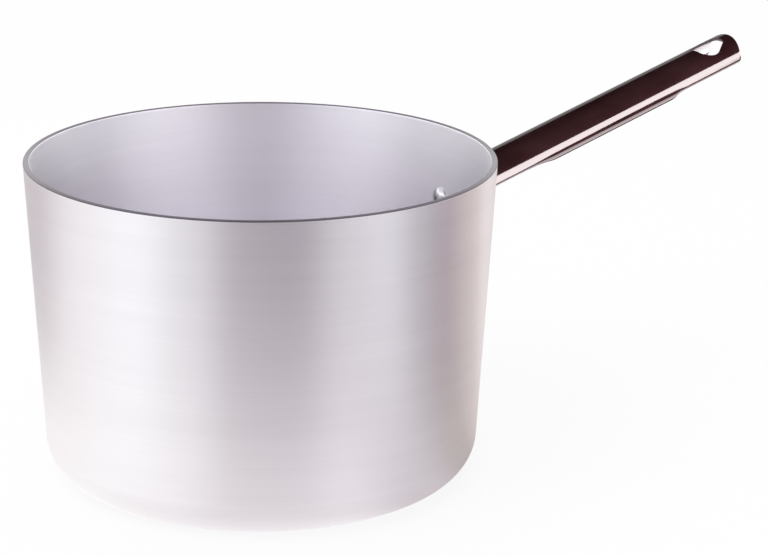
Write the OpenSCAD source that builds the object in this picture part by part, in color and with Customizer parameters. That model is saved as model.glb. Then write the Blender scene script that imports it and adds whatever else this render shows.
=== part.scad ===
// Tall aluminium saucepan with a riveted steel handle, in millimetres.
// The pot stands on z = 0 round the Z axis, and the handle reaches out along +X.

/* [Pot] */
// Inside diameter at the rim, which is the size its lid is sold by
rim_d = 240; // [200:1:300]
// Height from the table to the rim
pot_h = 170; // [150:1:220]
// Thickness of the side wall
wall_t = 3.2; // [2:0.1:5]
// Thickness of the floor
floor_t = 3.2; // [2:0.1:6]
// Outward lean of the wall in degrees
wall_lean = 3.2; // [1:0.1:5]
// Outside radius of the corner between wall and floor
corner_r = 22; // [12:1:30]
// Rounding of the two edges of the ground rim
rim_edge_r = 0.6; // [0.2:0.1:0.9]

/* [Handle] */
// Thickness of the steel sheet that the handle is rolled from
sheet_t = 1.5; // [1:0.1:2]
// Width of the grip
grip_w = 28; // [24:0.5:34]
// Height of the arch from its widest line to its ridge
arch_h = 9.3; // [8.5:0.1:11]
// Radius of the grip's sides
side_r = 7.2; // [5:0.1:8]
// Height of the upright stretch of the sides, below the arch
side_flat = 1; // [0.2:0.1:4]
// Upward tilt of the handle in degrees
handle_tilt = 14.9; // [5:0.1:25]
// Distance from the wall to the handle's tip, along the handle
handle_reach = 216.4; // [190:0.1:280]
// Depth below the rim at which the handle's axis meets the wall
handle_drop = 38; // [30:0.5:50]
// Radius of the rounded tip, seen from above
tip_r = 25; // [18:0.5:60]
// Height of the open side walls below the arch, at the tip
tip_skirt = 4; // [2:0.1:6]
// Length of the open channel at the tip
tip_open_l = 43; // [38:0.5:60]
// Length over which the tube closes behind the open tip
tip_close_l = 26; // [10:0.5:40]
// Rounding of the lower corners of the tip
tip_corner_r = 3; // [1:0.1:3.5]
// Height of the open side walls below the arch, at the wall
root_skirt = 3.6; // [2:0.1:6]
// Length of the open channel at the wall
root_open_l = 27; // [20:0.5:60]
// Length over which the tube closes beyond the open root
root_close_l = 85; // [40:1:100]
// Width of the seam where the two edges of the sheet meet
seam_w = 0.6; // [0.3:0.1:1.5]

/* [Hanging eye] */
// Distance from the tip to the eye
eye_from_tip = 6.7; // [5:0.1:12]
// Length of the eye along the handle
eye_l = 19.4; // [17:0.1:26]
// Width of the eye at its round end
eye_w = 20.6; // [14:0.1:21]
// Corner radius at the eye's round end
eye_round_r = 7; // [4:0.1:7]
// Corner radius at the eye's narrow end
eye_nose_r = 4; // [2:0.1:4]
// Width of the eye at its narrow end
eye_nose_w = 11.6; // [8:0.1:13]

/* [Rivets] */
// Diameter of a rivet's shank
shank_d = 6; // [4:0.1:7]
// Radial clearance of a shank in its holes
shank_gap = 0.05; // [0.02:0.01:0.2]
// Diameter of the domed head inside the pot
head_d = 11.5; // [9:0.1:14]
// Height of the domed head
head_h = 2.6; // [1.5:0.1:3.5]
// Diameter of the head formed outside on the plate
tail_d = 10; // [8:0.1:12]
// Height of the outside head
tail_h = 2.2; // [1.5:0.1:3]
// Straight rim of both heads, under the dome
head_rim = 0.5; // [0.3:0.1:1]
// Drop from the handle's axis to the upper rivet
rivet_below_axis = 2; // [0:0.5:4]
// Drop from the upper rivet to the lower pair
rivet_pitch_z = 34; // [28:0.5:40]
// Distance across between the lower pair
rivet_pitch_y = 31; // [26:0.5:38]
// Metal left round a lower rivet, from its axis to the edge of the plate
plate_margin = 11; // [9:0.5:14]
// Width of the plate that shows round the root of the tube
collar_w = 2.5; // [1:0.1:4]

/* [Hidden] */
$fn = 96;
// How far cutters run past what they cut
over = 1;
aluminium = "#c9c6cc";
dark_steel = "#3a2a2c";

// Horizontal thickness of the leaning wall
wall_across = wall_t / cos(wall_lean);
// Radii of the two faces of the wall at height z
function inner_r(z) = rim_d / 2 - (pot_h - z) * tan(wall_lean);
function outer_r(z) = inner_r(z) + wall_across;

// Centre of a circle of radius r that touches the wall's outer face, at height z
function outer_touch(z, r) = [outer_r(z) - r / cos(wall_lean), z];
// Centre of a circle of radius r inside the metal that touches the wall's inner face
function inner_touch(z, r) = [inner_r(z) + r / cos(wall_lean), z];
// Direction square to the wall, outwards
out_dir = [cos(wall_lean), -sin(wall_lean)];

inner_corner_r = corner_r - wall_t;
outer_corner = outer_touch(corner_r, corner_r);
inner_corner = [inner_r(floor_t + inner_corner_r) - inner_corner_r / cos(wall_lean),
                floor_t + inner_corner_r];
rim_out = outer_touch(pot_h - rim_edge_r, rim_edge_r);
rim_in = inner_touch(pot_h - rim_edge_r, rim_edge_r);

// Half width of the grip and the height of its lower half
half_w = grip_w / 2;
side_c = half_w - side_r;
// Radius of the crown that runs smoothly into the sides
crown_r = (side_c ^ 2 + arch_h ^ 2 - side_r ^ 2) / (2 * (arch_h - side_r));
crown_c = arch_h - crown_r;
// Distance from the middle at which the crown meets the side's radius
crown_meet = crown_r * side_c / (crown_r - side_r);
grip_depth = arch_h + side_flat;

// Where the handle's axis meets the outside of the wall
root_z = pot_h - handle_drop;
root_x = outer_r(root_z);

// Rivet places: height, and turn about the pot's axis
top_rivet_z = root_z - rivet_below_axis;
low_rivet_z = top_rivet_z - rivet_pitch_z;
low_turn = asin(rivet_pitch_y / 2 / outer_r(low_rivet_z));

// Puts a shape on the wall at height z and turn a, with its own +Z square to the wall
module on_wall(z, a = 0) {
    rotate([0, 0, a])
        translate([outer_r(z), 0, z])
            rotate([0, 90 + wall_lean, 0])
                children();
}

// Puts a shape on the handle's axis, with its +X along the handle and its +Z up from it
module on_handle() {
    translate([root_x, 0, root_z])
        rotate([0, -handle_tilt, 0])
            children();
}

// Half section of the space inside the pot
module hollow_2d() {
    polygon([
        [0, floor_t],
        [inner_corner.x, floor_t],
        inner_corner + inner_corner_r * out_dir,
        rim_in - rim_edge_r * out_dir,
        [rim_in.x, pot_h],
        [rim_in.x, pot_h + over],
        [0, pot_h + over]
    ]);
    translate(inner_corner)
        circle(r = inner_corner_r);
}

// Half section of the pot with its inside filled, and a skin of thickness t added outside
module filled_2d(t = 0) {
    skin = t * out_dir;
    polygon([
        [0, -t],
        [outer_corner.x, -t],
        outer_corner + (corner_r + t) * out_dir,
        rim_out + rim_edge_r * out_dir + skin,
        [rim_out.x, pot_h] + skin,
        [0, pot_h]
    ]);
    translate(outer_corner)
        circle(r = corner_r + t);
}

module pot_2d() {
    difference() {
        filled_2d();
        hollow_2d();
    }
    translate(rim_out)
        circle(r = rim_edge_r);
    translate(rim_in)
        circle(r = rim_edge_r);
}

// The three holes that the rivets pass through
module rivet_holes() {
    for (place = [[top_rivet_z, 0], [low_rivet_z, low_turn], [low_rivet_z, -low_turn]])
        on_wall(place[0], place[1])
            cylinder(r = shank_d / 2 + shank_gap, h = 2 * (wall_t + sheet_t + over),
                     center = true, $fn = 48);
}

module pot_body() {
    color(aluminium)
        difference() {
            rotate_extrude($fn = 180)
                pot_2d();
            rivet_holes();
        }
}

// Section of the closed grip, drawn in by t from its outer face
module grip_2d(t = 0) {
    for (low = [0, 1])
        translate([0, -low * side_flat])
            mirror([0, low, 0]) {
                intersection() {
                    translate([0, crown_c])
                        circle(r = crown_r - t);
                    translate([-crown_cut(t), 0])
                        square([2 * crown_cut(t), arch_h]);
                }
                for (side = [-1, 1])
                    translate([side * side_c, 0])
                        circle(r = side_r - t);
            }
    translate([t - half_w, -side_flat])
        square([grip_w - 2 * t, side_flat]);
}

// Half width at which the drawn-in crown meets the drawn-in side
function crown_cut(t) = side_c + (crown_meet - side_c) * (side_r - t) / side_r;

// Rolled sheet before it is cut: a tube with a seam along its underside
module rolled_tube() {
    rotate([90, 0, 90])
        translate([0, 0, -grip_w])
            linear_extrude(handle_reach + grip_w)
                difference() {
                    grip_2d();
                    grip_2d(sheet_t);
                    translate([-seam_w / 2, -grip_depth - over])
                        square([seam_w, sheet_t + 2 * over]);
                }
}

// Side view of what is cut from under the tube: from full depth at x = 0 up to rise at x = run,
// in two even bends, and level from there on
module undercut_2d(run, rise, level_l) {
    bend_r = (run ^ 2 + rise ^ 2) / (4 * rise);
    difference() {
        translate([0, -over])
            square([run / 2, over + rise / 2]);
        translate([0, bend_r])
            circle(r = bend_r, $fn = 180);
    }
    intersection() {
        translate([run / 2, -over])
            square([run / 2, over + rise]);
        translate([run, rise - bend_r])
            circle(r = bend_r, $fn = 180);
    }
    translate([run, -over])
        square([level_l, over + rise]);
}

// Turns a side view into a cutter that is wider than the grip
module across_grip() {
    rotate([90, 0, 0])
        linear_extrude(grip_w + 2 * over, center = true)
            children();
}

// Opens the underside at the tip, and rounds the lower corners of its walls
module tip_cut() {
    rise = grip_depth - tip_skirt;
    corner_x = handle_reach - tip_sag - tip_corner_r;
    across_grip() {
        translate([handle_reach - tip_open_l - tip_close_l, -grip_depth])
            undercut_2d(tip_close_l, rise, tip_open_l + over);
        difference() {
            translate([corner_x, -tip_skirt - over])
                square([tip_sag + tip_corner_r + over, over + tip_corner_r]);
            translate([corner_x, tip_corner_r - tip_skirt])
                circle(r = tip_corner_r);
        }
    }
}

// How far the rounded tip falls back at the sides of the grip
tip_sag = tip_r - sqrt(tip_r ^ 2 - half_w ^ 2);

// Opens the underside at the wall
module root_cut() {
    rise = grip_depth - root_skirt;
    across_grip()
        translate([root_open_l + root_close_l, -grip_depth])
            mirror([1, 0])
                undercut_2d(root_close_l, rise, root_open_l + grip_w);
}

// Everything inside the rounded end, seen from above
module tip_limit() {
    linear_extrude(2 * grip_w, center = true) {
        translate([handle_reach - tip_r, 0])
            circle(r = tip_r);
        translate([-2 * grip_w, -grip_w])
            square([handle_reach - tip_sag + 2 * grip_w, 2 * grip_w]);
    }
}

// Outline round two circles, each [centre, radius], and their mirror images in the X axis
module paired_2d(a, b) {
    hull()
        for (disc = [a, b], way = [-1, 1])
            translate([disc[0].x, way * disc[0].y])
                circle(r = disc[1], $fn = 48);
}

// Teardrop eye through the arch near the tip, its narrow end outwards
module eye_cut() {
    far_x = handle_reach - eye_from_tip;
    near_x = far_x - eye_l;
    linear_extrude(grip_w)
        paired_2d([[near_x + eye_round_r, eye_w / 2 - eye_round_r], eye_round_r],
                  [[far_x - eye_nose_r, eye_nose_w / 2 - eye_nose_r], eye_nose_r]);
}

// Spade that lies on the wall under the root of the handle, seen square to the wall
module plate_2d() {
    drop = rivet_pitch_z / cos(wall_lean);
    paired_2d([[-rivet_below_axis, half_w - arch_h], arch_h + collar_w],
              [[drop, rivet_pitch_y / 2], plate_margin]);
}

// Thin skin on the outside of the wall, from which the plate is cut
module wall_skin() {
    rotate_extrude($fn = 180)
        difference() {
            filled_2d(sheet_t);
            filled_2d();
        }
}

module plate() {
    intersection() {
        wall_skin();
        on_wall(top_rivet_z)
            linear_extrude(grip_w, center = true)
                plate_2d();
    }
}

module handle() {
    color(dark_steel)
        difference() {
            union() {
                difference() {
                    intersection() {
                        on_handle()
                            rolled_tube();
                        on_handle()
                            tip_limit();
                    }
                    on_handle() {
                        tip_cut();
                        root_cut();
                        eye_cut();
                    }
                    rotate_extrude($fn = 180)
                        filled_2d(sheet_t / 2);
                }
                plate();
            }
            rivet_holes();
        }
}

// A low dome on a short straight rim, standing on z = 0
module dome(d, h) {
    ball_r = (d ^ 2 / 4 + (h - head_rim) ^ 2) / (2 * (h - head_rim));
    intersection() {
        translate([0, 0, h - ball_r])
            sphere(r = ball_r, $fn = 96);
        translate([0, 0, -over])
            cylinder(d = d, h = h + over, $fn = 64);
    }
}

// A rivet at height z and turn a: domed head inside, shank, and formed head on the plate
module rivet(z, a) {
    color(aluminium) {
        on_wall(z, a)
            translate([0, 0, -wall_t - head_rim])
                cylinder(d = shank_d, h = wall_t + sheet_t + 2 * head_rim, $fn = 48);
        intersection() {
            on_wall(z, a)
                translate([0, 0, -wall_t])
                    mirror([0, 0, 1])
                        dome(head_d, head_h);
            rotate_extrude($fn = 180)
                hollow_2d();
        }
        difference() {
            on_wall(z, a)
                translate([0, 0, sheet_t])
                    dome(tail_d, tail_h);
            rotate_extrude($fn = 180)
                filled_2d(sheet_t);
        }
    }
}

pot_body();
handle();
rivet(top_rivet_z, 0);  // rivet_top
rivet(low_rivet_z, low_turn);  // rivet_lower_left
rivet(low_rivet_z, -low_turn);  // rivet_lower_right
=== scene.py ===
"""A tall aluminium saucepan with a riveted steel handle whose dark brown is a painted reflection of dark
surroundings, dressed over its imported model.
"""

from math import acos, asin, cos, degrees, hypot, pi, radians, sin, sqrt, tan

import bmesh
import bpy
from mathutils import Matrix, Vector


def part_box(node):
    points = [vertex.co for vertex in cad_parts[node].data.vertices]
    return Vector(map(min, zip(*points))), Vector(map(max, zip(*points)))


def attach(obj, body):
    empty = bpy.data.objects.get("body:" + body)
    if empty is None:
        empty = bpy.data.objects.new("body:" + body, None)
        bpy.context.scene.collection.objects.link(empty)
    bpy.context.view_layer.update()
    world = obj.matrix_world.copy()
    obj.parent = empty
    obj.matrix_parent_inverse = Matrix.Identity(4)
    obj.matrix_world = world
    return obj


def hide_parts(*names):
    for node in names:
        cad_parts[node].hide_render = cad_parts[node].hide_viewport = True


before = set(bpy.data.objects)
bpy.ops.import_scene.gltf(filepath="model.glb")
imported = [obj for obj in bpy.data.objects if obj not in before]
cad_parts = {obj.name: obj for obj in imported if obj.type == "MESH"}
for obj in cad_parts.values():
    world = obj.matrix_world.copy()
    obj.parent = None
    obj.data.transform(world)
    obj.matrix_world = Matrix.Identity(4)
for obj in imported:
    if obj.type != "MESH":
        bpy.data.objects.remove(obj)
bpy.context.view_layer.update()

# All sizes are in metres. Angles are in radians where radians() makes them, and else in degrees.
# The pot
POT_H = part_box("pot_body")[1].z
WALL_T = 0.0032
FLOOR_T = 0.0032
WALL_LEAN = radians(3.2)
CORNER_R = 0.022
RIM_EDGE_R = 0.0006
RIM_R = 0.120
# The ground part of the rim, which also carries its painted dark reflection: how deep it goes from the top,
# and how far outwards of the inside it starts
GROUND_DEPTH = 1.05 * RIM_EDGE_R
GROUND_START = 0.35 * RIM_EDGE_R
# Steps of the pot's mesh: round the axis, and along each part of its profile
TURN_STEPS = 320
BASE_STEPS = 10
CORNER_STEPS = 20
WALL_STEPS = 22
RIM_EDGE_STEPS = 6
INNER_CORNER_STEPS = 18
RIM_TOP_SHARES = (0.15, 0.85)
WELD = 1e-7

# The handle, in its own frame: X along it from the wall's face, Z up from its axis
SHEET_T = 0.0015
HALF_W = 0.014
ARCH_H = 0.0093
SIDE_R = 0.0072
SIDE_FLAT = 0.001
HANDLE_TILT = radians(14.9)
HANDLE_REACH = 0.2164
HANDLE_DROP = 0.038
TIP_R = 0.025
TIP_SKIRT = 0.004
TIP_OPEN_L = 0.043
TIP_CLOSE_L = 0.026
TIP_CORNER_R = 0.003
ROOT_SKIRT = 0.0036
ROOT_OPEN_L = 0.027
ROOT_CLOSE_L = 0.085
SEAM_W = 0.0006
# The sheet's open edges turn in by a quarter of a small curl
CURL_R = 0.0021
# The root spreads onto the plate in a quarter bend
FLARE_R = 0.0024
# What keeps the bend's end just clear of the plate's face
FLARE_LIFT = 0.00004
EDGE_BEVEL = 0.00028
BEVEL_STEPS = 3
BEVEL_FROM = radians(50)

# The hanging eye
EYE_FROM_TIP = 0.0067
EYE_L = 0.0194
EYE_FAR = HANDLE_REACH - EYE_FROM_TIP
EYE_NEAR = EYE_FAR - EYE_L
EYE_ROUND_R = 0.007
EYE_ROUND_HALF_W = 0.0103
EYE_NOSE_R = 0.004
EYE_NOSE_HALF_W = 0.0058
# Its outline goes round two pairs of circles: place along the handle, place across it, radius
EYE_DISCS = (
    (EYE_NEAR + EYE_ROUND_R, EYE_ROUND_HALF_W - EYE_ROUND_R, EYE_ROUND_R),
    (EYE_FAR - EYE_NOSE_R, EYE_NOSE_HALF_W - EYE_NOSE_R, EYE_NOSE_R),
)

# The mesh of the handle's sheet, laid flat: the length of a cell, the columns across the sheet and the
# rows in the root's bend
CELL = 0.00115
SHEET_COLUMNS = 62
FLARE_ROWS = 5
# How far from the sheet's ends its cells stretch to fit the plate and the round tip
ROOT_FIT_L = 0.018
TIP_FIT_L = 0.030
# The block of cells that gives way to the eye, and how far from it to the outline each new ring lies
EYE_BLOCK_MARGIN = 0.0026
EYE_BLOCK_W = 0.0140
EYE_RINGS = (0.34, 0.62, 0.84, 1.0)
PLATE_ROWS = 60
PLATE_COLUMNS = 40

# The rivets
SHANK_R = 0.003
HEAD_R = 0.00575
HEAD_H = 0.0026
TAIL_R = 0.005
TAIL_H = 0.0022
HEAD_RIM = 0.0005
# The soft edge between a head's rim and its dome, and what both heads are sunk into the sheets
HEAD_SOFT = 0.00018
HEAD_SOFT_TURN = 3
HEAD_SUNK = 0.00018
DOME_STEPS = 12
RIVET_STEPS = 64
RIVET_BELOW_AXIS = 0.002
RIVET_PITCH_Z = 0.034
RIVET_PITCH_Y = 0.031
PLATE_MARGIN = 0.011
COLLAR_W = 0.0025


def inner_r(z):
    return RIM_R - (POT_H - z) * tan(WALL_LEAN)


def outer_r(z):
    return inner_r(z) + WALL_T / cos(WALL_LEAN)


ROOT_Z = POT_H - HANDLE_DROP
ROOT_X = outer_r(ROOT_Z)
TOP_RIVET_Z = ROOT_Z - RIVET_BELOW_AXIS
LOW_RIVET_Z = TOP_RIVET_Z - RIVET_PITCH_Z
LOW_TURN = asin(RIVET_PITCH_Y / 2 / outer_r(LOW_RIVET_Z))
# The plate's outline, as the eye's: place down from the upper rivet, place across, radius
PLATE_DISCS = (
    (-RIVET_BELOW_AXIS, HALF_W - ARCH_H, ARCH_H + COLLAR_W),
    (RIVET_PITCH_Z / cos(WALL_LEAN), RIVET_PITCH_Y / 2, PLATE_MARGIN),
)


# Shared helpers come first, then the pieces, the finishes, the camera and the studio


def smooth(t):
    """Eases from 0 to 1."""
    t = min(max(t, 0.0), 1.0)
    return t * t * (3 - 2 * t)


def mix(a, b, t):
    return a + (b - a) * t


def hull_lines(discs, middle=0, count=360):
    """The lines round the hull of some circles and their mirror images in the X axis, each as the
    direction it faces and its distance from the middle."""
    ways = [Vector((cos(2 * pi * i / count), sin(2 * pi * i / count))) for i in range(count)]
    return [(n, max((x - middle) * n.x + y * abs(n.y) + r for x, y, r in discs)) for n in ways]


def piece_from(bm, name, *finishes):
    """Makes a piece of the object from a bmesh, with its finishes in order."""
    mesh = bpy.data.meshes.new(name)
    bm.to_mesh(mesh)
    bm.free()
    for finish in finishes:
        mesh.materials.append(finish)
    mesh.polygons.foreach_set("use_smooth", [True] * len(mesh.polygons))
    piece = bpy.data.objects.new(name, mesh)
    bpy.context.scene.collection.objects.link(piece)
    return piece


def arc(centre, radius, start, end, count):
    """Points on an arc, from one angle to another in degrees, as (radius, height)."""
    turn = [radians(mix(start, end, i / count)) for i in range(count + 1)]
    return [(centre[0] + radius * cos(a), centre[1] + radius * sin(a)) for a in turn]


def stretch(a, b, count, hold=0.0008):
    """Points between the ends of a straight stretch, with one close to each end to keep it straight."""
    length = hypot(b[0] - a[0], b[1] - a[1])
    shares = [hold / length] + [i / count for i in range(1, count)] + [1 - hold / length]
    return [(mix(a[0], b[0], t), mix(a[1], b[1], t)) for t in shares]


def spun(profile, steps):
    """Spins a profile of (radius, height) points round the Z axis."""
    bm = bmesh.new()
    line = [bm.verts.new((r, 0, z)) for r, z in profile]
    edges = [bm.edges.new(pair) for pair in zip(line, line[1:])]
    bmesh.ops.spin(
        bm, geom=line + edges, cent=(0, 0, 0), axis=(0, 0, 1), angle=2 * pi, steps=steps, use_merge=True
    )
    return bm


def turned(profile, steps):
    """Spins a profile whose ends lie on the axis, to a closed shape."""
    bm = spun(profile, steps)
    bmesh.ops.remove_doubles(bm, verts=bm.verts, dist=WELD)
    bmesh.ops.recalc_face_normals(bm, faces=bm.faces)
    return bm


# The pot


def pot_profile():
    """Half section of the pot, from the middle of its base round the rim to the middle of its floor."""
    lean = degrees(WALL_LEAN)
    outer = (outer_r(CORNER_R) - CORNER_R / cos(WALL_LEAN), CORNER_R)
    inner_corner_r = CORNER_R - WALL_T
    inner_z = FLOOR_T + inner_corner_r
    inner = (inner_r(inner_z) - inner_corner_r / cos(WALL_LEAN), inner_z)
    rim_z = POT_H - RIM_EDGE_R
    rim_out = (outer_r(rim_z) - RIM_EDGE_R / cos(WALL_LEAN), rim_z)
    rim_in = (inner_r(rim_z) + RIM_EDGE_R / cos(WALL_LEAN), rim_z)
    corner = arc(outer, CORNER_R, -90, -lean, CORNER_STEPS)
    rim_outside = arc(rim_out, RIM_EDGE_R, -lean, 90, RIM_EDGE_STEPS)
    rim_inside = arc(rim_in, RIM_EDGE_R, 90, 180 - lean, RIM_EDGE_STEPS)
    inner_corner = arc(inner, inner_corner_r, -lean, -90, INNER_CORNER_STEPS)
    rim_top = [(mix(rim_outside[-1][0], rim_inside[0][0], t), POT_H) for t in RIM_TOP_SHARES]
    points = [(0, 0)] + stretch((0, 0), corner[0], BASE_STEPS) + corner
    points += stretch(corner[-1], rim_outside[0], WALL_STEPS) + rim_outside + rim_top + rim_inside
    points += stretch(rim_inside[-1], inner_corner[0], WALL_STEPS) + inner_corner
    points += stretch(inner_corner[-1], (0, FLOOR_T), BASE_STEPS) + [(0, FLOOR_T)]
    return points


def make_pot():
    bm = turned(pot_profile(), TURN_STEPS)
    # The grinding ends halfway round the rim's inner edge, and with it the rim's painted dark reflection
    for face in bm.faces:
        centre = face.calc_center_median()
        on_top = min(v.co.z for v in face.verts) > POT_H - GROUND_DEPTH
        face.material_index = int(on_top and hypot(centre.x, centre.y) > RIM_R + GROUND_START)
    pot = piece_from(bm, "spun_pot", turned_aluminium(), ground_rim_painted_reflection())
    return dress(pot, "pot_body")


# The rivets


def dome(radius, height):
    """Profile of a low dome on a short straight rim, from the foot of its rim to its top."""
    rise = height - HEAD_RIM
    ball_r = (radius**2 + rise**2) / (2 * rise)
    start = 90 - degrees(asin(radius / ball_r))
    cap = arc((0, height - ball_r), ball_r, start + HEAD_SOFT_TURN, 90, DOME_STEPS)[:-1]
    return [(radius, 0), (radius, HEAD_RIM - HEAD_SOFT), *cap, (0, height)]


def make_rivet(name, node, z, turn):
    """One set rivet: a domed head inside the pot, a shank, and a low formed head on the plate."""
    inside = [(r, -WALL_T + HEAD_SUNK - h) for r, h in reversed(dome(HEAD_R, HEAD_H + HEAD_SUNK))]
    outside = [(r, SHEET_T - HEAD_SUNK + h) for r, h in dome(TAIL_R, TAIL_H + HEAD_SUNK)]
    profile = inside + [(SHANK_R, inside[-1][1]), (SHANK_R, outside[0][1])] + outside
    bm = turned(profile, RIVET_STEPS)
    where = (
        Matrix.Rotation(turn, 4, "Z")
        @ Matrix.Translation((outer_r(z), 0, z))
        @ Matrix.Rotation(pi / 2 + WALL_LEAN, 4, "Y")
    )
    bmesh.ops.transform(bm, matrix=where, verts=bm.verts)
    rivet = piece_from(bm, name, bright_aluminium())
    return dress(rivet, node)


# The handle

SIDE_C = HALF_W - SIDE_R
CROWN_R = (SIDE_C**2 + ARCH_H**2 - SIDE_R**2) / (2 * (ARCH_H - SIDE_R))
CROWN_C = ARCH_H - CROWN_R
CROWN_TURN = asin(SIDE_C / (CROWN_R - SIDE_R))
CROWN_L = CROWN_R * CROWN_TURN
SIDE_L = SIDE_R * (pi / 2 - CROWN_TURN)
ARCH_L = CROWN_L + SIDE_L
GRIP_DEPTH = ARCH_H + SIDE_FLAT
OPEN_L = TIP_SKIRT - CURL_R + CURL_R * pi / 2
EYE_X = (EYE_FAR + EYE_NEAR) / 2
FLARE_L = FLARE_ROWS * CELL
# The first guess of where the tube's foot lies, and how often it is brought nearer to the plate
FOOT_GUESS = 0.002
FOOT_TRIES = 5
# How squarely a line of a hull has to face a ray, to be one that the ray can meet
FACING = 0.01


def arch_point(s):
    """Place (across, up) on the arch's outer face, at the distance s round it from the ridge."""
    way, s = (1 if s >= 0 else -1), abs(s)
    if s <= CROWN_L:
        return way * CROWN_R * sin(s / CROWN_R), CROWN_C + CROWN_R * cos(s / CROWN_R)
    turn = CROWN_TURN + (s - CROWN_L) / SIDE_R
    return way * (SIDE_C + SIDE_R * sin(turn)), SIDE_R * cos(turn)


def closed_point(q):
    """Place on the lower half of the closed tube, at the distance q below its widest line."""
    if q <= SIDE_FLAT:
        return HALF_W, -q
    if q <= SIDE_FLAT + SIDE_L:
        turn = (q - SIDE_FLAT) / SIDE_R
        return SIDE_C + SIDE_R * cos(turn), -SIDE_FLAT - SIDE_R * sin(turn)
    turn = CROWN_TURN - (q - SIDE_FLAT - SIDE_L) / CROWN_R
    return CROWN_R * sin(turn), -SIDE_FLAT - CROWN_C - CROWN_R * cos(turn)


def open_point(q):
    """Place on the side of the open channel: straight down, then a quarter curl inwards."""
    straight = TIP_SKIRT - CURL_R
    if q <= straight:
        return HALF_W, -q
    turn = (q - straight) / CURL_R
    return HALF_W - CURL_R * (1 - cos(turn)), -straight - CURL_R * sin(turn)


def closed_length(depth):
    """How far round the closed lower half the sheet goes, to end at a depth."""
    below = depth - SIDE_FLAT
    if below <= SIDE_R * cos(CROWN_TURN):
        return SIDE_FLAT + SIDE_R * asin(max(below, 0) / SIDE_R)
    turn = acos(min((below - CROWN_C) / CROWN_R, 1))
    turn = max(turn, SEAM_W / 2 / CROWN_R)
    return SIDE_FLAT + SIDE_L + (CROWN_TURN - turn) * CROWN_R


def s_bend(x, run, rise):
    """Height of a curve that climbs the rise over the run in two even bends."""
    bend_r = (run**2 + rise**2) / (4 * rise)
    x = min(max(x, 0), run)
    if x <= run / 2:
        return bend_r - sqrt(bend_r**2 - x**2)
    return rise - bend_r + sqrt(bend_r**2 - (run - x) ** 2)


def closing(x):
    """How closed the tube is at x, from 0 in the open channels to 1, and the depth of its edges."""
    tip_rise = GRIP_DEPTH - TIP_SKIRT
    at_tip = s_bend(x - (HANDLE_REACH - TIP_OPEN_L - TIP_CLOSE_L), TIP_CLOSE_L, tip_rise)
    root_rise = GRIP_DEPTH - ROOT_SKIRT
    at_root = s_bend(ROOT_OPEN_L + ROOT_CLOSE_L - x, ROOT_CLOSE_L, root_rise)
    share = 1 - max(at_tip / tip_rise, at_root / root_rise)
    return share, GRIP_DEPTH - max(at_tip, at_root)


def section_point(x, t):
    """Place (across, up) at x along the handle: t goes from -2 to 2 round the section, with 0 on
    the ridge and 1 on the widest line."""
    if abs(t) <= 1:
        return arch_point(t * ARCH_L)
    share, depth = closing(x)
    ease = smooth(2 * share)
    q = (abs(t) - 1) * mix(OPEN_L, closed_length(depth), ease)
    below = [mix(a, b, ease) for a, b in zip(open_point(q), closed_point(q))]
    return (below[0] if t > 0 else -below[0]), below[1]


def tip_x(across, up):
    """Where the handle ends: a round tip seen from above, with rounded lower corners."""
    end = HANDLE_REACH - TIP_R + sqrt(TIP_R**2 - across**2)
    below = -TIP_SKIRT + TIP_CORNER_R - up
    if below > 0:
        side_end = HANDLE_REACH - TIP_R + sqrt(TIP_R**2 - HALF_W**2)
        end = min(end, side_end - TIP_CORNER_R + sqrt(max(TIP_CORNER_R**2 - below**2, 0)))
    return end


def to_row(x, across, up):
    """A place in the handle's own frame, in the frame of the whole pan."""
    return Vector((
        ROOT_X + x * cos(HANDLE_TILT) - up * sin(HANDLE_TILT),
        across,
        ROOT_Z + x * sin(HANDLE_TILT) + up * cos(HANDLE_TILT),
    ))


def plate_face_r(z):
    """Radius of the plate's outer face about the pot's axis."""
    return outer_r(z) + SHEET_T / cos(WALL_LEAN)


def foot_x(across, up):
    """Where a line along the handle meets the outer face of the plate."""
    x = FOOT_GUESS
    for _ in range(FOOT_TRIES):
        p = to_row(x, across, up)
        x += plate_face_r(p.z) - hypot(p.x, p.y)
    return x


def flare_point(t, across, up, share):
    """A place on the bend from the tube onto the plate: share is 0 on the plate and 1 on the tube."""
    a, b = section_point(0, t - 0.001), section_point(0, t + 0.001)
    tangent = Vector((b[0] - a[0], b[1] - a[1])).normalized()
    out = to_row(0, -tangent.y, tangent.x) - to_row(0, 0, 0)
    x = foot_x(across, up)
    foot = to_row(x, across, up)
    start = to_row(x + FLARE_R, across, up)
    face = Vector((foot.x, foot.y, 0)).normalized() * cos(WALL_LEAN) - Vector((0, 0, sin(WALL_LEAN)))
    end = foot + (out - face * out.dot(face)).normalized() * FLARE_R
    flat = Vector((end.x, end.y, 0)).normalized() * (plate_face_r(end.z) + FLARE_LIFT)
    end = Vector((flat.x, flat.y, end.z))
    return end.lerp(foot, share).lerp(foot.lerp(start, share), share)


def hull_reach(way, lines):
    """How far a ray from the middle of a hull goes to its outline, along the unit vector way."""
    return min(far / n.dot(way) for n, far in lines if n.dot(way) > FACING)


def across_to_s(across):
    """The distance round the arch from its ridge, of a place on the crown."""
    return CROWN_R * asin(across / CROWN_R)


def flat_sheet():
    """The handle's sheet laid flat: X along it, Y from -2 to 2 across it, as in section_point."""
    bm = bmesh.new()
    rows = round(HANDLE_REACH / CELL)
    bmesh.ops.create_grid(bm, x_segments=rows, y_segments=SHEET_COLUMNS, size=0.5)
    bmesh.ops.transform(
        bm,
        matrix=Matrix.Diagonal((HANDLE_REACH, 4, 1, 1)) @ Matrix.Translation((0.5, 0, 0)),
        verts=bm.verts,
    )
    return bm


def fit_tip(bm):
    """The end of every line across the flat sheet follows the round tip."""
    fixed = HANDLE_REACH - TIP_FIT_L
    for v in bm.verts:
        if v.co.x > fixed:
            end = tip_x(*section_point(HANDLE_REACH, v.co.y))
            v.co.x = mix(fixed, end, (v.co.x - fixed) / TIP_FIT_L)


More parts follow.
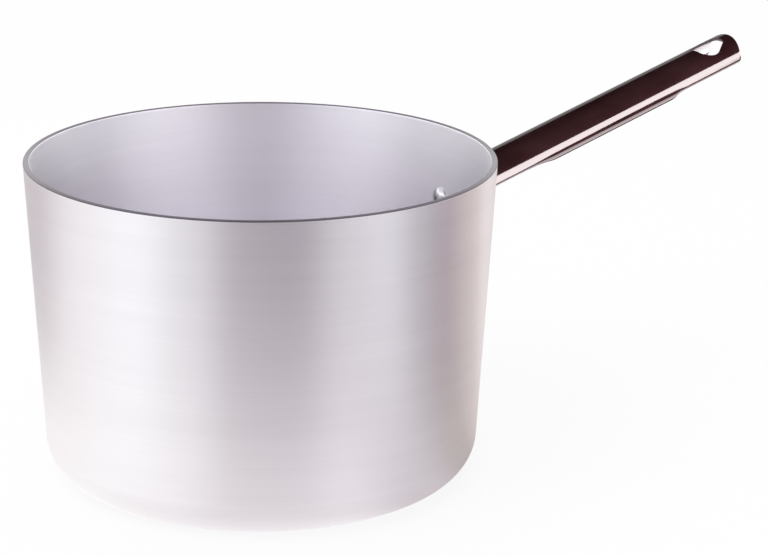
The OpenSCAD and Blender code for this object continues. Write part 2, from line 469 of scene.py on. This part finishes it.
def cut_eye(bm, block):
    """A block of cells gives way to rings that run into the eye's outline."""
    inside = set(block)
    ring = [e for e in bm.edges if sum(f in inside for f in e.link_faces) == 1]
    bmesh.ops.delete(bm, geom=block, context="FACES")
    lines = hull_lines(EYE_DISCS, EYE_X)
    start = {}
    for share in EYE_RINGS:
        made = bmesh.ops.extrude_edge_only(bm, edges=ring)["geom"]
        new = {v for v in made if isinstance(v, bmesh.types.BMVert)}
        for v in new:
            old = next(u for e in v.link_edges for u in (e.other_vert(v),) if u not in new)
            start[v] = start.get(old, old.co.copy())
            away = Vector((start[v].x - EYE_X, arch_point(start[v].y * ARCH_L)[0]))
            way = away.normalized()
            hit = way * hull_reach(way, lines)
            goal = Vector((EYE_X + hit.x, across_to_s(hit.y) / ARCH_L, 0))
            v.co = start[v].lerp(goal, share)
        ring = [e for e in made if isinstance(e, bmesh.types.BMEdge) and e.is_boundary]


def roll_up(bm):
    """Rolls the flat sheet to its section, with its root bent onto the plate."""
    for v in bm.verts:
        x, t = v.co.x, v.co.y
        across, up = section_point(x, t)
        if x < FLARE_L - CELL / 4:
            v.co = flare_point(t, across, up, x / FLARE_L)
        else:
            if x < ROOT_FIT_L:
                share = (x - FLARE_L) / (ROOT_FIT_L - FLARE_L)
                x = mix(foot_x(across, up) + FLARE_R, ROOT_FIT_L, share)
            v.co = to_row(x, across, up)
    bmesh.ops.recalc_face_normals(bm, faces=bm.faces)
    if max(bm.faces, key=lambda f: f.calc_center_median().z).normal.z < 0:
        bmesh.ops.reverse_faces(bm, faces=bm.faces)


def handle_sheet():
    """The rolled sheet's outer face: a flat grid with the eye's hole, rolled up by its section."""
    bm = flat_sheet()
    reach_x, reach_t = (EYE_FAR - EYE_NEAR) / 2 + EYE_BLOCK_MARGIN, EYE_BLOCK_W / ARCH_L
    middles = {f: f.calc_center_median() for f in bm.faces}
    block = [f for f, c in middles.items() if abs(c.x - EYE_X) < reach_x and abs(c.y) < reach_t]
    fit_tip(bm)
    cut_eye(bm, block)
    roll_up(bm)
    return bm


def add_plate(bm):
    """The spade on the wall: a grid drawn to the outline, then wrapped round the wall."""
    lines = hull_lines(PLATE_DISCS)
    top = min(x - r for x, y, r in PLATE_DISCS)
    low = max(x + r for x, y, r in PLATE_DISCS)
    grid = bmesh.ops.create_grid(bm, x_segments=PLATE_ROWS, y_segments=PLATE_COLUMNS, size=1)
    made = grid["verts"]
    for v in made:
        down = mix(top, low, (1 - cos((v.co.x + 1) * pi / 2)) / 2)
        across = v.co.y * min((far - n.x * down) / n.y for n, far in lines if n.y > FACING)
        z = TOP_RIVET_Z - down * cos(WALL_LEAN)
        v.co = (sqrt(plate_face_r(z) ** 2 - across**2), across, z)
    faces = list({f for v in made for f in v.link_faces})
    bm.normal_update()
    if faces[0].normal.x < 0:
        bmesh.ops.reverse_faces(bm, faces=faces)


def make_handle():
    bm = handle_sheet()
    add_plate(bm)
    # The outer face takes the painted dark reflection, the inner face bare steel and the rims the cut edges
    handle = piece_from(bm, "rolled_handle", handle_painted_reflection(), bare_steel(), cut_edge())
    wall = handle.modifiers.new("sheet", "SOLIDIFY")
    wall.thickness = SHEET_T
    wall.offset = -1
    wall.use_even_offset = True
    wall.material_offset = 1
    wall.material_offset_rim = 2
    bevel = handle.modifiers.new("edges", "BEVEL")
    bevel.width = EDGE_BEVEL
    bevel.segments = BEVEL_STEPS
    bevel.limit_method = "ANGLE"
    bevel.angle_limit = BEVEL_FROM
    return dress(handle, "handle")


def dress(piece, node):
    """Rides a finished piece on the pan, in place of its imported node."""
    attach(piece, "root")
    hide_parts(node)
    return piece


# Finishes


def finish(name, **inputs):
    """A new material, its node tree and its shader with constants set on the shader's own sockets."""
    material = bpy.data.materials.new(name)
    material.use_nodes = True
    tree = material.node_tree
    shader = tree.nodes["Principled BSDF"]
    for key, value in inputs.items():
        shader.inputs[key.replace("_", " ")].default_value = value
    return material, tree, shader


def node(tree, kind, inputs=(), **settings):
    """Adds a node, sets its properties, and links or sets its inputs by place."""
    made = tree.nodes.new(kind)
    for key, value in settings.items():
        setattr(made, key, value)
    for place, value in dict(inputs).items():
        if isinstance(value, bpy.types.NodeSocket):
            tree.links.new(value, made.inputs[place])
        else:
            made.inputs[place].default_value = value
    return made


def math(tree, operation, *values):
    return node(tree, "ShaderNodeMath", enumerate(values), operation=operation).outputs[0]


def noise(tree, vector, detail, scale=1.0):
    inputs = {"Vector": vector, "Scale": scale, "Detail": detail}
    return node(tree, "ShaderNodeTexNoise", inputs).outputs["Fac"]


def spread(tree, value, low, high, start=0.3, end=0.7):
    """Maps a value that runs from start to end, to one that runs from low to high."""
    return node(
        tree, "ShaderNodeMapRange",
        {"Value": value, "From Min": start, "From Max": end, "To Min": low, "To Max": high},
    ).outputs[0]


def object_place(tree):
    return node(tree, "ShaderNodeTexCoord").outputs["Object"]


def turned_space(tree, along, across):
    """Coordinates in which every turned line lies level: slow round the pot, quick across the lines."""
    place = object_place(tree)
    flat = node(tree, "ShaderNodeVectorMath", {0: place, 1: (1, 1, 0)}, operation="MULTIPLY").outputs[0]
    radius = node(tree, "ShaderNodeVectorMath", {0: flat}, operation="LENGTH").outputs["Value"]
    parts = node(tree, "ShaderNodeSeparateXYZ", {0: place}).outputs
    return node(
        tree, "ShaderNodeCombineXYZ",
        {
            0: math(tree, "MULTIPLY", parts[0], along),
            1: math(tree, "MULTIPLY", parts[1], along),
            2: math(tree, "MULTIPLY", math(tree, "ADD", parts[2], radius), across),
        },
    ).outputs[0]


def round_tangent(tree):
    """The direction round the pot's axis."""
    return node(
        tree, "ShaderNodeVectorMath", {0: (0, 0, 1), 1: object_place(tree)}, operation="CROSS_PRODUCT"
    ).outputs[0]


def tinted(tree, shader, fac, dark, light):
    """Lets a pattern move the shader's colour between two close tones."""
    tone = node(tree, "ShaderNodeMix", {"Factor": fac}, data_type="RGBA")
    tone.inputs[6].default_value = (*dark, 1)
    tone.inputs[7].default_value = (*light, 1)
    tree.links.new(tone.outputs[2], shader.inputs["Base Color"])


def turned_aluminium():
    """Satin aluminium with fine lines turned round the axis, inside and out."""
    material, tree, shader = finish(
        "turned_aluminium", Metallic=1.0, Anisotropic=0.8, Anisotropic_Rotation=0.25
    )
    fine = noise(tree, turned_space(tree, along=6, across=1500), detail=3)
    broad = noise(tree, turned_space(tree, along=4, across=330), detail=3)
    streaks = noise(tree, turned_space(tree, along=7, across=95), detail=2)
    patches = noise(tree, object_place(tree), detail=2, scale=9)
    lines = math(tree, "ADD", math(tree, "MULTIPLY", fine, 0.7), math(tree, "MULTIPLY", broad, 0.3))
    shade = math(
        tree, "ADD", spread(tree, lines, low=0, high=0.45, start=0.35, end=0.65),
        spread(tree, streaks, low=0, high=0.55),
    )
    tinted(tree, shader, shade, dark=(0.872, 0.860, 0.885), light=(0.918, 0.906, 0.931))
    rough = math(
        tree, "ADD", spread(tree, lines, low=-0.012, high=0.012),
        spread(tree, patches, low=0.355, high=0.385),
    )
    tree.links.new(rough, shader.inputs["Roughness"])
    tree.links.new(round_tangent(tree), shader.inputs["Tangent"])
    bump = node(tree, "ShaderNodeBump", {"Height": lines, "Strength": 0.03, "Distance": 0.0003})
    tree.links.new(bump.outputs[0], shader.inputs["Normal"])
    return material


def ground_rim_painted_reflection():
    """The rim is ground flat, with fine lines along it; its dark tone is a painted reflection of dark
    surroundings.
    """
    material, tree, shader = finish(
        "ground_rim_painted_reflection", Metallic=1.0, Anisotropic=0.88, Anisotropic_Rotation=0.25
    )
    lines = noise(tree, turned_space(tree, along=20, across=4000), detail=2)
    shade = spread(tree, lines, low=0, high=1)
    # The rim's dark tones are a painted reflection of dark surroundings, not ground aluminium's own colour
    tinted(tree, shader, shade, dark=(0.11, 0.10, 0.11), light=(0.18, 0.165, 0.18))
    tree.links.new(spread(tree, lines, low=0.38, high=0.48), shader.inputs["Roughness"])
    tree.links.new(round_tangent(tree), shader.inputs["Tangent"])
    return material


def bright_aluminium():
    """Set rivets: smooth and bright, with the faint marks of the setting tool."""
    material, tree, shader = finish("bright_aluminium", Metallic=1.0)
    marks = noise(tree, object_place(tree), detail=4, scale=420)
    shade = spread(tree, marks, low=0, high=1)
    tinted(tree, shader, shade, dark=(0.54, 0.53, 0.54), light=(0.68, 0.67, 0.68))
    tree.links.new(spread(tree, marks, low=0.14, high=0.24), shader.inputs["Roughness"])
    bump = node(tree, "ShaderNodeBump", {"Height": marks, "Strength": 0.15, "Distance": 0.0003})
    tree.links.new(bump.outputs[0], shader.inputs["Normal"])
    return material


def along_handle(tree, along, across):
    """Coordinates stretched along the handle."""
    return node(
        tree, "ShaderNodeMapping",
        {"Vector": object_place(tree), "Rotation": (0, HANDLE_TILT, 0), "Scale": (along, across, across)},
    ).outputs[0]


def handle_painted_reflection():
    """Glossy sheet whose dark brown colour is a painted reflection of dark surroundings in polished steel,
    with faint scratches along the handle.
    """
    material, tree, shader = finish("handle_painted_reflection", IOR=2.0)
    scratches = noise(tree, along_handle(tree, along=12, across=900), detail=3)
    clouds = noise(tree, along_handle(tree, along=25, across=60), detail=2)
    shade = spread(tree, clouds, low=0, high=1)
    # The dark brown tones are a painted reflection: the dark surroundings that polished steel would mirror,
    # put into its colour
    tinted(tree, shader, shade, dark=(0.016, 0.005, 0.006), light=(0.030, 0.012, 0.013))
    tree.links.new(spread(tree, scratches, low=0.07, high=0.12), shader.inputs["Roughness"])
    return material


def bare_steel():
    """Bare steel on the inside of the roll, with a dull grain along it."""
    material, tree, shader = finish("bare_steel", Metallic=1.0)
    grain = noise(tree, along_handle(tree, along=15, across=700), detail=3)
    shade = spread(tree, grain, low=0, high=1)
    tinted(tree, shader, shade, dark=(0.44, 0.455, 0.46), light=(0.56, 0.575, 0.58))
    tree.links.new(spread(tree, grain, low=0.40, high=0.52), shader.inputs["Roughness"])
    return material


def cut_edge():
    """The sheet's cut edges, dull and dark grey-brown."""
    material, tree, shader = finish("cut_edge", IOR=1.6)
    grain = noise(tree, object_place(tree), detail=3, scale=900)
    shade = spread(tree, grain, low=0, high=1)
    tinted(tree, shader, shade, dark=(0.085, 0.065, 0.068), light=(0.14, 0.11, 0.115))
    tree.links.new(spread(tree, grain, low=0.35, high=0.5), shader.inputs["Roughness"])
    return material


# The camera, as fitted to the outlines of the pot in a picture of 768 by 556: how far it stands from the
# rim's centre, how far it looks down, its roll, its turn round the pot, and the rim's centre in pixels

VIEW_FROM_RIM = 1.4
VIEW_DOWN = radians(14.58)
VIEW_ROLL = radians(-0.1275)
VIEW_TURN = radians(-33.5)
FOCAL_PX = 2683.5
PICTURE_PX = (768, 556)
RIM_PX = (261.15, 156.67)


def make_camera():
    """Looks at the rim's centre, then turns so that the centre lies at its place in the picture."""
    right = Vector((cos(VIEW_TURN), sin(VIEW_TURN), 0))
    away = Vector((-sin(VIEW_TURN), cos(VIEW_TURN), 0))
    up = away * sin(VIEW_DOWN) + Vector((0, 0, cos(VIEW_DOWN)))
    forward = away * cos(VIEW_DOWN) - Vector((0, 0, sin(VIEW_DOWN)))
    rolled = right * cos(VIEW_ROLL) + up * sin(VIEW_ROLL)
    upright = up * cos(VIEW_ROLL) - right * sin(VIEW_ROLL)
    world = Matrix((rolled, upright, forward)).transposed()
    aim = Vector((RIM_PX[0] - PICTURE_PX[0] / 2, PICTURE_PX[1] / 2 - RIM_PX[1], FOCAL_PX)) / FOCAL_PX
    swing = Vector((0, 0, 1)).rotation_difference(aim).to_matrix()
    turn = world @ swing.transposed() @ Matrix.Diagonal((1, 1, -1))
    lens = bpy.data.cameras.new("camera")
    lens.sensor_width = 36
    lens.lens = FOCAL_PX * lens.sensor_width / PICTURE_PX[0]
    camera = bpy.data.objects.new("camera", lens)
    bpy.context.scene.collection.objects.link(camera)
    place = Vector((0, 0, POT_H)) - forward * VIEW_FROM_RIM
    camera.matrix_world = Matrix.Translation(place) @ turn.to_4x4()
    bpy.context.scene.camera = camera


# The studio

FLOOR_R = 9.0
FLOOR_STEPS = 96
# How much of the floor's own white is seen; the rest is lit by the lamps and keeps the pan's shadow
FLOOR_GLOW = 0.84
FLOOR_TONE = (0.93, 0.925, 0.93, 1)
FLOOR_WHITE = (1, 0.997, 1, 1)
WORLD_LEVEL = 0.97


def seen(tree):
    """1 for rays that show the background: from the camera, off metal or through glass."""
    path = node(tree, "ShaderNodeLightPath").outputs
    return math(
        tree, "MAXIMUM", path["Is Camera Ray"],
        math(tree, "MAXIMUM", path["Is Glossy Ray"], path["Is Transmission Ray"]),
    )


def link_output(tree, shader):
    tree.links.new(shader.outputs[0], tree.nodes["Material Output"].inputs[0])


def make_floor():
    """A wide pale floor that shows white and keeps the pan's soft shadow."""
    bm = bmesh.new()
    bmesh.ops.create_circle(bm, cap_ends=True, segments=FLOOR_STEPS, radius=FLOOR_R)
    material = bpy.data.materials.new("pale_floor")
    material.use_nodes = True
    tree = material.node_tree
    tree.nodes.remove(tree.nodes["Principled BSDF"])
    matt = node(tree, "ShaderNodeBsdfDiffuse", {"Color": FLOOR_TONE}).outputs[0]
    white = node(tree, "ShaderNodeEmission", {"Color": FLOOR_WHITE, "Strength": 1.0}).outputs[0]
    share = math(tree, "MULTIPLY", seen(tree), FLOOR_GLOW)
    link_output(tree, node(tree, "ShaderNodeMixShader", {0: share, 1: matt, 2: white}))
    floor = piece_from(bm, "floor", material)


def make_world():
    """White wherever it is seen, and an even soft light on the floor."""
    world = bpy.data.worlds.new("studio")
    bpy.context.scene.world = world
    world.use_nodes = True
    tree = world.node_tree
    background = tree.nodes["Background"]
    background.inputs["Color"].default_value = (1, 1, 1, 1)
    level = spread(tree, seen(tree), low=WORLD_LEVEL, high=1, start=0, end=1)
    tree.links.new(level, background.inputs["Strength"])


def ramp(tree, fac, stops):
    """A ramp with smooth steps, from pairs of a place and a grey or coloured tone."""
    made = node(tree, "ShaderNodeValToRGB", {0: fac})
    made.color_ramp.interpolation = "EASE"
    points = made.color_ramp.elements
    while len(points) < len(stops):
        points.new(0.5)
    for point, (place, tone) in zip(points, stops):
        point.position = place
        point.color = (*tone, 1) if isinstance(tone, tuple) else (tone, tone, tone, 1)
    return made.outputs[0]


# The tent's mesh
TENT_R = 2.4
TENT_GAP_R = 0.104
TENT_FLOOR_R = 0.5
TENT_LIFT = 0.001
TENT_STEPS = 64
TENT_ARC_STEPS = 18
TENT_TOP_TURN = 89.9
# Its tones in four rings from the floor up, each by the turn in degrees from the camera to the right
TENT_NEAR = (
    (-180, (0.56, 0.54, 0.51)), (-60, (0.57, 0.56, 0.55)), (20, (0.54, 0.51, 0.52)),
    (55, (0.34, 0.31, 0.32)), (90, (0.25, 0.22, 0.20)), (112, (0.32, 0.29, 0.27)),
    (140, (0.45, 0.43, 0.41)),
)
TENT_LOW = (
    (-180, (0.34, 0.33, 0.32)), (-125, (0.29, 0.26, 0.27)), (-88, (0.45, 0.43, 0.43)),
    (-58, (0.51, 0.51, 0.52)), (-30, (0.36, 0.35, 0.36)), (-8, (0.16, 0.13, 0.15)),
    (16, (0.12, 0.10, 0.12)), (38, (0.30, 0.28, 0.30)), (56, (0.37, 0.36, 0.38)),
    (76, (0.17, 0.16, 0.18)), (90, (0.14, 0.10, 0.12)), (112, (0.29, 0.24, 0.23)),
    (132, (0.45, 0.41, 0.40)),
)
TENT_HIGH = (
    (-180, 0.87), (-125, 0.99), (-58, 1.00), (-8, 0.53), (16, 0.53), (38, 0.88), (56, 1.00),
    (76, 1.00), (90, 0.91), (112, 0.89), (140, 0.87),
)
TENT_TOP = (
    (-180, (0.42, 0.39, 0.46)), (-60, (0.57, 0.55, 0.64)), (-8, (0.10, 0.08, 0.12)),
    (16, (0.12, 0.10, 0.12)), (54, (0.61, 0.57, 0.64)),
)
TENT_LEVEL = 1.90
# Where each ring fades into the next: by the distance from the pot's axis on the floor, and by the
# share of the tent's height above it
NEAR_TO_LOW = (0.13, 0.43)
LOW_TO_HIGH = (0.04, 0.22)
HIGH_TO_TOP = (0.35, 0.60)
# Round the pot's foot, the near ring takes some of the low ring's tone, a painted shadow of the pot on the
# floor
# as the metal mirrors it: how much, and where it starts, peaks and ends
FOOT_SHARE = 0.25
FOOT_RADII = (0.106, 0.125, 0.18)


def tone_blend(tree, fac, below, above):
    """Fades from one tone to another: fac holds a value and the range over which it fades."""
    value, start, end = fac
    share = spread(tree, value, low=0, high=1, start=start, end=end)
    made = node(tree, "ShaderNodeMix", {"Factor": share}, data_type="RGBA")
    tree.links.new(below, made.inputs[6])
    tree.links.new(above, made.inputs[7])
    return made.outputs[2]


def alone(*pieces):
    """A group of pieces, for a light that reaches nothing else."""
    group = bpy.data.collections.new("lit_alone")
    for piece in pieces:
        group.objects.link(piece)
    return group


def make_tent(bright):
    """A light tent of white cloth with darker gaps, seen only in the bright metal."""
    points = [(TENT_GAP_R, TENT_LIFT), (TENT_FLOOR_R, TENT_LIFT)]
    points += arc((0, TENT_LIFT), TENT_R, 0, TENT_TOP_TURN, TENT_ARC_STEPS)
    bm = spun(points, TENT_STEPS)
    material = bpy.data.materials.new("tent_cloth")
    material.use_nodes = True
    material.cycles.emission_sampling = "NONE"
    tree = material.node_tree
    tree.nodes.remove(tree.nodes["Principled BSDF"])
    place = object_place(tree)
    parts = node(tree, "ShaderNodeSeparateXYZ", {0: place}).outputs
    camera_turn = VIEW_TURN - pi / 2
    turn = math(tree, "SUBTRACT", math(tree, "ARCTAN2", parts[1], parts[0]), camera_turn)
    share = spread(tree, math(tree, "WRAP", turn, pi, -pi), low=0, high=1, start=-pi, end=pi)
    near, low, high, top = (
        ramp(tree, share, [((a + 180) / 360, tone) for a, tone in (*tones, (180, tones[0][1]))])
        for tones in (TENT_NEAR, TENT_LOW, TENT_HIGH, TENT_TOP)
    )
    flat = node(tree, "ShaderNodeVectorMath", {0: place, 1: (1, 1, 0)}, operation="MULTIPLY").outputs[0]
    radius = node(tree, "ShaderNodeVectorMath", {0: flat}, operation="LENGTH").outputs["Value"]
    lift = math(tree, "DIVIDE", parts[2], TENT_R)
    start, peak, end = FOOT_RADII
    rising = spread(tree, radius, low=0, high=FOOT_SHARE, start=start, end=peak)
    falling = spread(tree, radius, low=FOOT_SHARE, high=0, start=peak, end=end)
    away = spread(tree, radius, 0, 1, *NEAR_TO_LOW)
    away = math(tree, "MAXIMUM", math(tree, "MINIMUM", rising, falling), away)
    tone = tone_blend(tree, (away, 0, 1), near, low)
    tone = tone_blend(tree, (lift, *LOW_TO_HIGH), tone, high)
    tone = tone_blend(tree, (lift, *HIGH_TO_TOP), tone, top)
    cloth = node(tree, "ShaderNodeEmission", {"Color": tone, "Strength": TENT_LEVEL})
    link_output(tree, cloth)
    tent = piece_from(bm, "light_tent", material)
    tent.visible_camera = False
    tent.visible_diffuse = False
    tent.visible_shadow = False
    tent.light_linking.receiver_collection = alone(*bright)


# The key lamp
KEY_PLACE = (-1.3, -0.4, 1.9)
KEY_SIZE = (1.6, 1.6)
KEY_WATTS = 11
# The strips' places are along, across and up from the handle's root
SIDE_FAR = 0.28
SIDE_TOP = SIDE_FAR * tan(radians(8))
SIDE_LOW = SIDE_FAR * tan(radians(29.5))
SIDE_STRIP = (0.32, -SIDE_FAR, (SIDE_TOP - SIDE_LOW) / 2)
LOW_STRIP = (0.18, -0.018, -0.10)
BACK_STRIP = (0.35, 0.40, -0.04)
# The watts that make a square metre of a lamp's face look as bright as a plain white
WATTS_FOR_WHITE = 4


def soft_lamp(name, place, aim, size, watts, colour=(1, 1, 1)):
    """A soft lamp that the camera doesn't see."""
    light = bpy.data.lights.new(name, "AREA")
    light.shape = "RECTANGLE"
    light.size, light.size_y = size
    light.energy = watts
    light.color = colour
    lamp = bpy.data.objects.new(name, light)
    bpy.context.scene.collection.objects.link(lamp)
    lamp.location = place
    lamp.rotation_mode = "QUATERNION"
    lamp.rotation_quaternion = (Vector(aim) - Vector(place)).to_track_quat("-Z", "Y")
    lamp.visible_camera = False
    return lamp


def strip_lamp(name, place, length, width, level, colour, receivers, rise=0):
    """A strip beside the handle and in line with it, that lights the handle alone. Its level is how
    bright its face looks, its place is along, across and up from the handle's root, and rise is the
    angle by which it climbs away from the handle's line towards the tip."""
    aim = to_row(place[0], 0, 0)
    watts = WATTS_FOR_WHITE * level * length * width
    lamp = soft_lamp(name, to_row(*place), aim, (length, width), watts, colour)
    back = (lamp.location - aim).normalized()
    along = Vector((cos(HANDLE_TILT), 0, sin(HANDLE_TILT)))
    along.rotate(Matrix.Rotation(rise, 3, back))
    turn = Matrix((along, back.cross(along), back)).transposed()
    lamp.rotation_quaternion = turn.to_quaternion()
    lamp.light_linking.receiver_collection = receivers
    return lamp


def make_lamps(handle):
    """A broad lamp for the soft shadow, and strips for the light along the handle."""
    key = soft_lamp("key", KEY_PLACE, (0, 0, 0), KEY_SIZE, KEY_WATTS)
    key.visible_glossy = False
    lit = alone(handle)
    strip_lamp(
        "side_strip", SIDE_STRIP, length=0.64, width=SIDE_TOP + SIDE_LOW, level=5.8,
        colour=(1, 0.9, 0.91), receivers=lit, rise=radians(11),
    )
    strip_lamp(
        "low_strip", LOW_STRIP, length=0.50, width=0.08, level=1.8, colour=(1, 0.9, 0.9), receivers=lit
    )
    strip_lamp(
        "back_strip", BACK_STRIP, length=0.90, width=0.38, level=0.35, colour=(1, 0.95, 0.95),
        receivers=lit,
    )


# Everything, in order
make_camera()
pot = make_pot()
handle = make_handle()
rivets = [
    make_rivet("top_rivet", "rivet_top", TOP_RIVET_Z, 0),
    make_rivet("lower_left_rivet", "rivet_lower_left", LOW_RIVET_Z, LOW_TURN),
    make_rivet("lower_right_rivet", "rivet_lower_right", LOW_RIVET_Z, -LOW_TURN),
]
make_floor()
make_world()
make_tent([pot, *rivets])
make_lamps(handle)
bpy.context.scene.view_settings.view_transform = "Standard"
